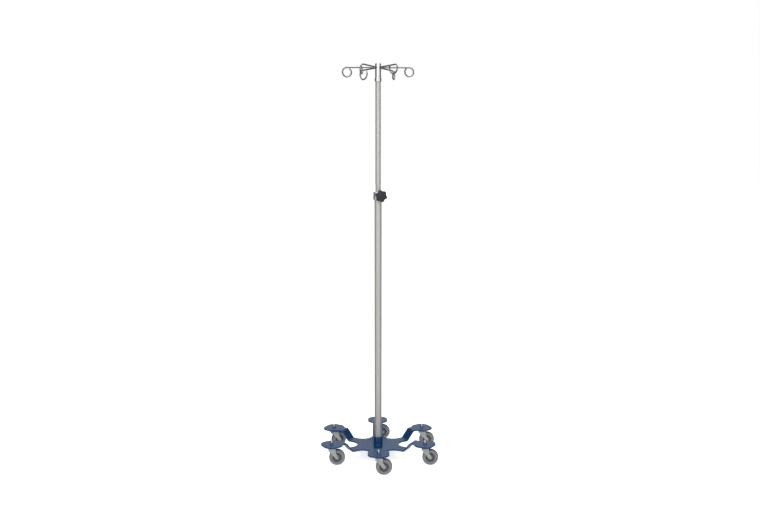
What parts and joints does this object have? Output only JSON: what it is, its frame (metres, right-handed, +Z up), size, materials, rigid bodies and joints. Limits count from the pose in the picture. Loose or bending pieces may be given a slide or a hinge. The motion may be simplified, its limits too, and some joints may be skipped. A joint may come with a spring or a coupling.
{
  "type": "mobile infusion stand",
  "caption": "Mobile infusion stand: low plate base on swivel castors, telescopic mast with a clamp collar and knob, and a crown of coiled bag hooks.",
  "frame": {"origin": "on the floor, on the mast's axis", "axes": "+Z up the mast, -Y towards the front leg, +X to the right of it"},
  "size_m": [0.5453, 0.589, 1.84],
  "materials": {
    "blue_paint": "navy blue gloss paint",
    "tube_steel": "satin stainless tube",
    "chrome": "bright chrome plate",
    "zinc": "bright zinc plate",
    "tyre_rubber": "grey non-marking rubber",
    "wheel_plastic": "moulded grey",
    "knob_plastic": "moulded near-black",
    "nylon": "natural"
  },
  "bodies": {
    "base": {"base_plate": "blue_paint", "pole_socket": "blue_paint", "lower_tube": "tube_steel", "tube_plug": "zinc", "foot_washer": "zinc", "foot_bolt": "zinc", "tube_collar": "chrome", "collar_liner": "nylon", "cap_nut_front": "chrome", "cap_nut_front_right": "chrome", "cap_nut_back_right": "chrome", "cap_nut_back": "chrome", "cap_nut_back_left": "chrome", "cap_nut_front_left": "chrome", "swivel_stem_front": "zinc", "swivel_stem_front_right": "zinc", "swivel_stem_back_right": "zinc", "swivel_stem_back": "zinc", "swivel_stem_back_left": "zinc", "swivel_stem_front_left": "zinc"},
    "mast_guide": {"guide_bush": "nylon"},
    "mast": {"upper_tube": "tube_steel", "hook_hub": "chrome", "hub_grub_screw": "zinc", "hook_1": "chrome", "hook_2": "chrome", "hook_3": "chrome", "hook_4": "chrome", "hook_5": "chrome", "hook_6": "chrome"},
    "clamp": {"clamp_pad": "nylon"},
    "clamp_knob": {"knob": "knob_plastic", "knob_stud": "zinc"},
    "castor_front": {"fork_front": "zinc", "axle_front": "zinc"},
    "wheel_front": {"wheel_core_front": "wheel_plastic", "tyre_front": "tyre_rubber"},
    "castor_front_right": {"fork_front_right": "zinc", "axle_front_right": "zinc"},
    "wheel_front_right": {"wheel_core_front_right": "wheel_plastic", "tyre_front_right": "tyre_rubber"},
    "castor_back_right": {"fork_back_right": "zinc", "axle_back_right": "zinc"},
    "wheel_back_right": {"wheel_core_back_right": "wheel_plastic", "tyre_back_right": "tyre_rubber"},
    "castor_back": {"fork_back": "zinc", "axle_back": "zinc"},
    "wheel_back": {"wheel_core_back": "wheel_plastic", "tyre_back": "tyre_rubber"},
    "castor_back_left": {"fork_back_left": "zinc", "axle_back_left": "zinc"},
    "wheel_back_left": {"wheel_core_back_left": "wheel_plastic", "tyre_back_left": "tyre_rubber"},
    "castor_front_left": {"fork_front_left": "zinc", "axle_front_left": "zinc"},
    "wheel_front_left": {"wheel_core_front_left": "wheel_plastic", "tyre_front_left": "tyre_rubber"}
  },
  "joints": [
    {"name": "mast_slide", "type": "slide", "parent": "base", "child": "mast_guide", "axis": [0, 0, 1], "range_m": [-0.495, 0.43]},
    {"name": "mast_turn", "type": "hinge", "parent": "mast_guide", "child": "mast", "pos_m": [0, 0, 1.2], "axis": [0, 0, 1], "continuous": true},
    {"name": "clamp_travel", "type": "slide", "parent": "base", "child": "clamp", "axis": [0.342, -0.9397, 0], "range_m": [0, 0.00225]},
    {"name": "knob_turn", "type": "hinge", "parent": "clamp", "child": "clamp_knob", "pos_m": [0, 0, 1.242], "axis": [0.342, -0.9397, 0], "range_deg": [0, 540]},
    {"name": "swivel_front", "type": "hinge", "parent": "base", "child": "castor_front", "pos_m": [0, -0.25, 0.08], "axis": [0, 0, 1], "continuous": true},
    {"name": "spin_front", "type": "hinge", "parent": "castor_front", "child": "wheel_front", "pos_m": [0.02499, -0.24913, 0.0375], "axis": [-0.0349, 0.9994, 0], "continuous": true},
    {"name": "swivel_front_right", "type": "hinge", "parent": "base", "child": "castor_front_right", "pos_m": [0.21651, -0.125, 0.08], "axis": [0, 0, 1], "continuous": true},
    {"name": "spin_front_right", "type": "hinge", "parent": "castor_front_right", "child": "wheel_front_right", "pos_m": [0.24147, -0.12631, 0.0375], "axis": [0.0523, 0.9986, 0], "continuous": true},
    {"name": "swivel_back_right", "type": "hinge", "parent": "base", "child": "castor_back_right", "pos_m": [0.21651, 0.125, 0.08], "axis": [0, 0, 1], "continuous": true},
    {"name": "spin_back_right", "type": "hinge", "parent": "castor_back_right", "child": "wheel_back_right", "pos_m": [0.24141, 0.12718, 0.0375], "axis": [-0.0872, 0.9962, 0], "continuous": true},
    {"name": "swivel_back", "type": "hinge", "parent": "base", "child": "castor_back", "pos_m": [0, 0.25, 0.08], "axis": [0, 0, 1], "continuous": true},
    {"name": "spin_back", "type": "hinge", "parent": "castor_back", "child": "wheel_back", "pos_m": [0.02494, 0.24826, 0.0375], "axis": [0.0698, 0.9976, 0], "continuous": true},
    {"name": "swivel_back_left", "type": "hinge", "parent": "base", "child": "castor_back_left", "pos_m": [-0.21651, 0.125, 0.08], "axis": [0, 0, 1], "continuous": true},
    {"name": "spin_back_left", "type": "hinge", "parent": "castor_back_left", "child": "wheel_back_left", "pos_m": [-0.19385, 0.13556, 0.0375], "axis": [-0.4226, 0.9063, 0], "continuous": true},
    {"name": "swivel_front_left", "type": "hinge", "parent": "base", "child": "castor_front_left", "pos_m": [-0.21651, -0.125, 0.08], "axis": [0, 0, 1], "continuous": true},
    {"name": "spin_front_left", "type": "hinge", "parent": "castor_front_left", "child": "wheel_front_left", "pos_m": [-0.19154, -0.12369, 0.0375], "axis": [-0.0523, 0.9986, 0], "continuous": true}
  ],
  "couplings": [
    {"joint": "knob_turn", "follows": "clamp_travel", "rad_per_m": 4188}
  ]
}
